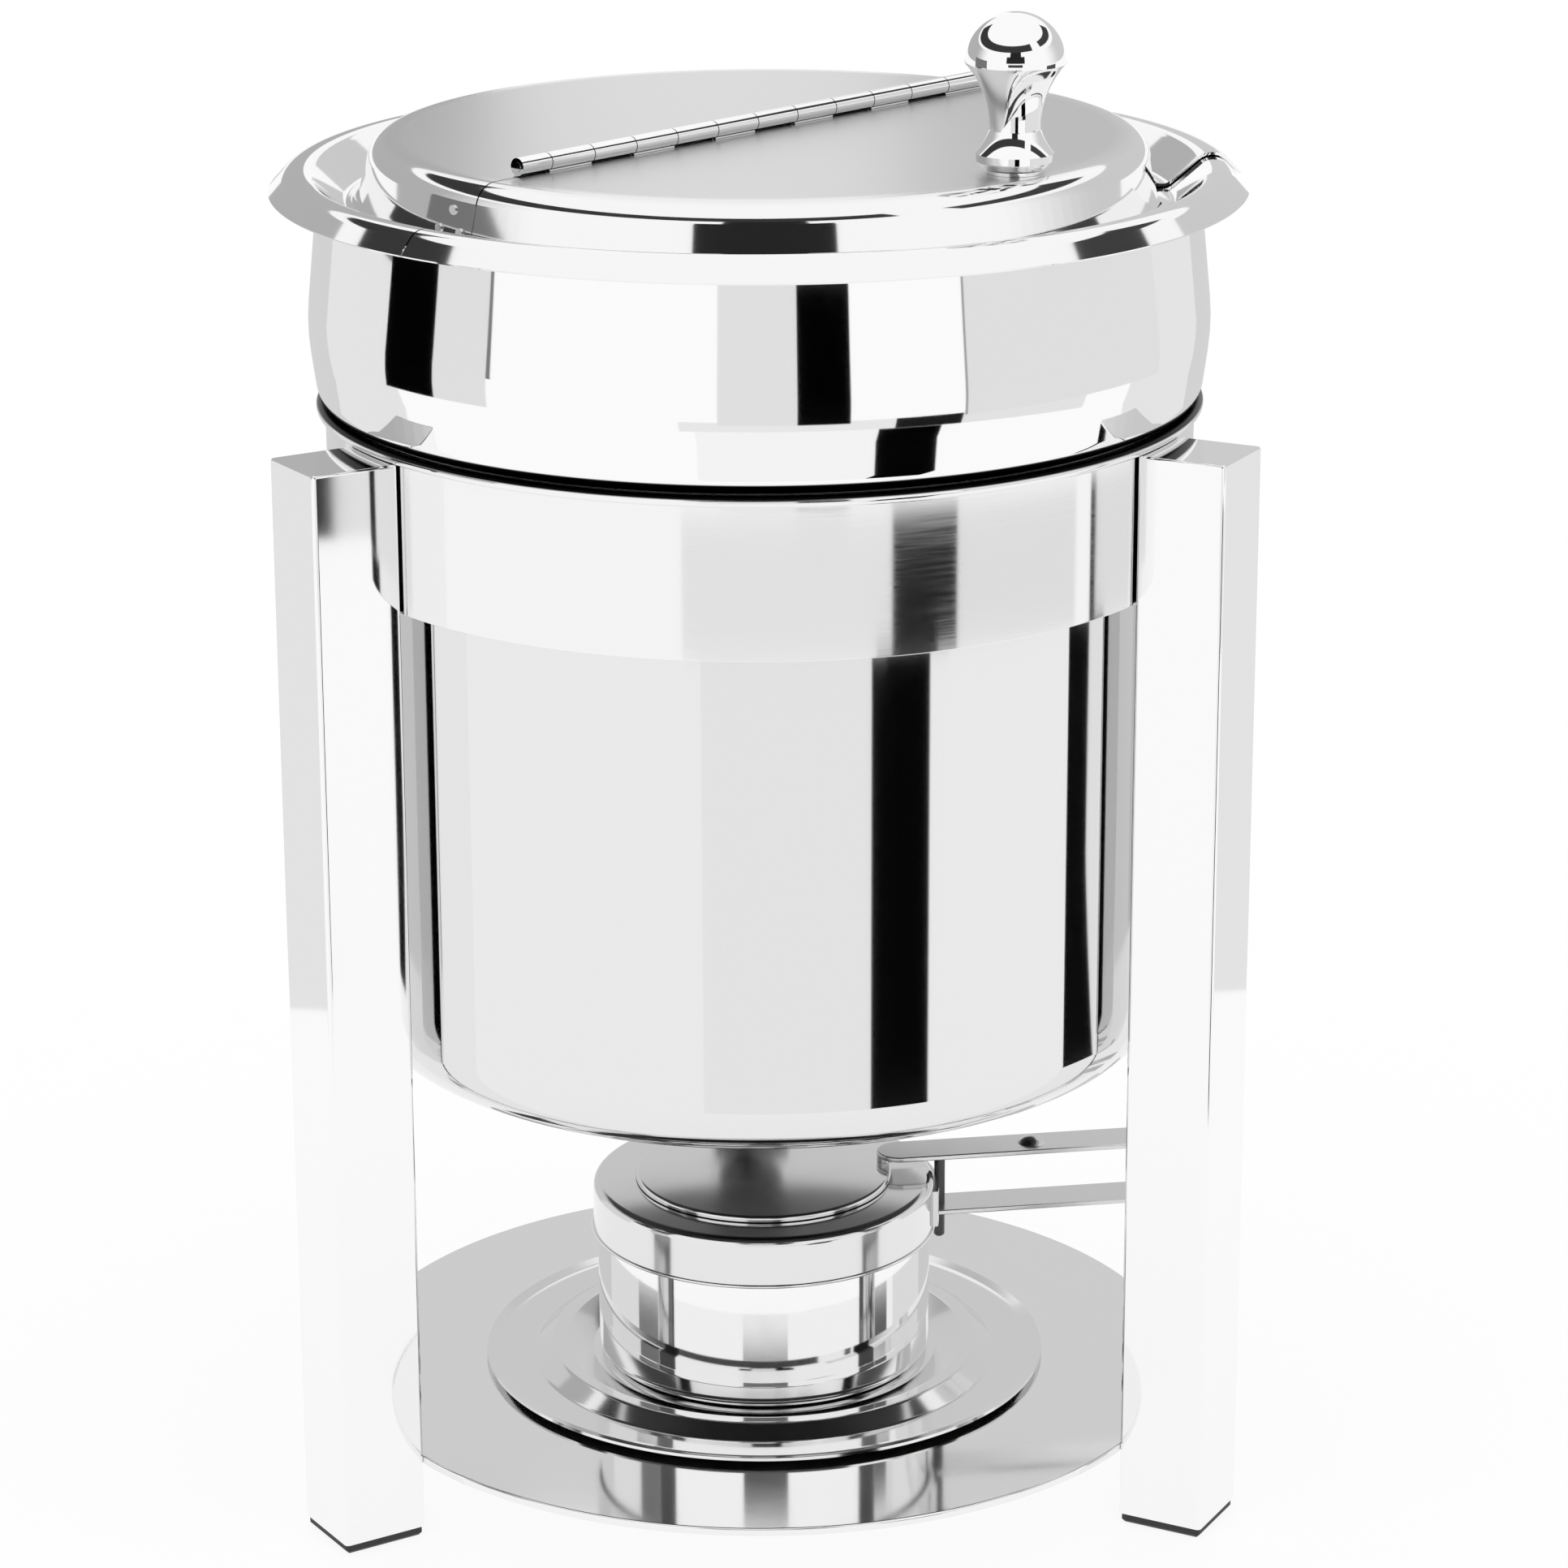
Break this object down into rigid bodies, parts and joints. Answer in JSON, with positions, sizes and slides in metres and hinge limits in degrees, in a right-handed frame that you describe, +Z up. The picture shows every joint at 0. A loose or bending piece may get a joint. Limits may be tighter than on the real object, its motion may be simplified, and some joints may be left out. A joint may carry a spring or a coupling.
{
  "type": "soup kettle",
  "caption": "Free-standing buffet soup kettle: round water pan and inset pan on a three-legged stand, hinged half cover with knob and ladle slot, fuel burner with snuffer.",
  "frame": {"origin": "on the floor, on the kettle's upright axis", "axes": "+Z up along the kettle's axis, -Y towards the front, between the two front legs; +Y towards the rear leg; +X to the right"},
  "size_m": [0.2714, 0.2823, 0.4324],
  "materials": {
    "polished_steel": "mirror-polished stainless steel",
    "cover_steel": "stainless steel, polished skirt and edge, fine satin top",
    "satin_steel": "satin stainless steel",
    "pad_rubber": "black moulded rubber"
  },
  "bodies": {
    "stand": {"stand_ring": "polished_steel", "leg_left": "polished_steel", "leg_right": "polished_steel", "leg_rear": "polished_steel", "leg_caps": "polished_steel", "foot_pads": "pad_rubber", "base_plate": "polished_steel", "burner_dish": "polished_steel"},
    "cup": {"fuel_cup": "polished_steel"},
    "cap": {"holder_cap": "polished_steel", "cap_handle": "satin_steel"},
    "snuffer": {"snuffer_disc": "satin_steel", "snuffer_handle": "satin_steel", "handle_stud": "satin_steel", "pivot_pin": "satin_steel"},
    "water_pan": {"water_pan": "polished_steel"},
    "food_pan": {"food_pan": "polished_steel"},
    "cover": {"cover_rear": "cover_steel", "hinge_leaf_rear": "satin_steel", "hinge_pin": "satin_steel", "seat_tabs": "satin_steel", "tab_rivets": "satin_steel"},
    "cover_flap": {"cover_front": "cover_steel", "hinge_leaf_front": "satin_steel", "knob": "polished_steel", "knob_washer": "satin_steel", "knob_screw": "satin_steel"}
  },
  "joints": [
    {"name": "fuel_cup_lift", "type": "slide", "parent": "stand", "child": "cup", "axis": [0, 0, 1], "range_m": [0, 0.012]},
    {"name": "cap_lift", "type": "slide", "parent": "cup", "child": "cap", "axis": [0, 0, 1], "range_m": [0, 0.02]},
    {"name": "snuffer_swing", "type": "hinge", "parent": "cap", "child": "snuffer", "pos_m": [0.05241, 0.00643, 0.082], "axis": [0, 0, 1], "range_deg": [0, 90]},
    {"name": "water_pan_lift", "type": "slide", "parent": "stand", "child": "water_pan", "axis": [0, 0, 1], "range_m": [0, 0.2]},
    {"name": "food_pan_lift", "type": "slide", "parent": "water_pan", "child": "food_pan", "axis": [0, 0, 1], "range_m": [0, 0.22]},
    {"name": "cover_lift", "type": "slide", "parent": "food_pan", "child": "cover", "axis": [0, 0, 1], "range_m": [0, 0.06]},
    {"name": "cover_hinge", "type": "hinge", "parent": "cover", "child": "cover_flap", "pos_m": [0, 0, 0.3926], "axis": [-0.7071, -0.7071, 0], "range_deg": [0, 150]}
  ]
}
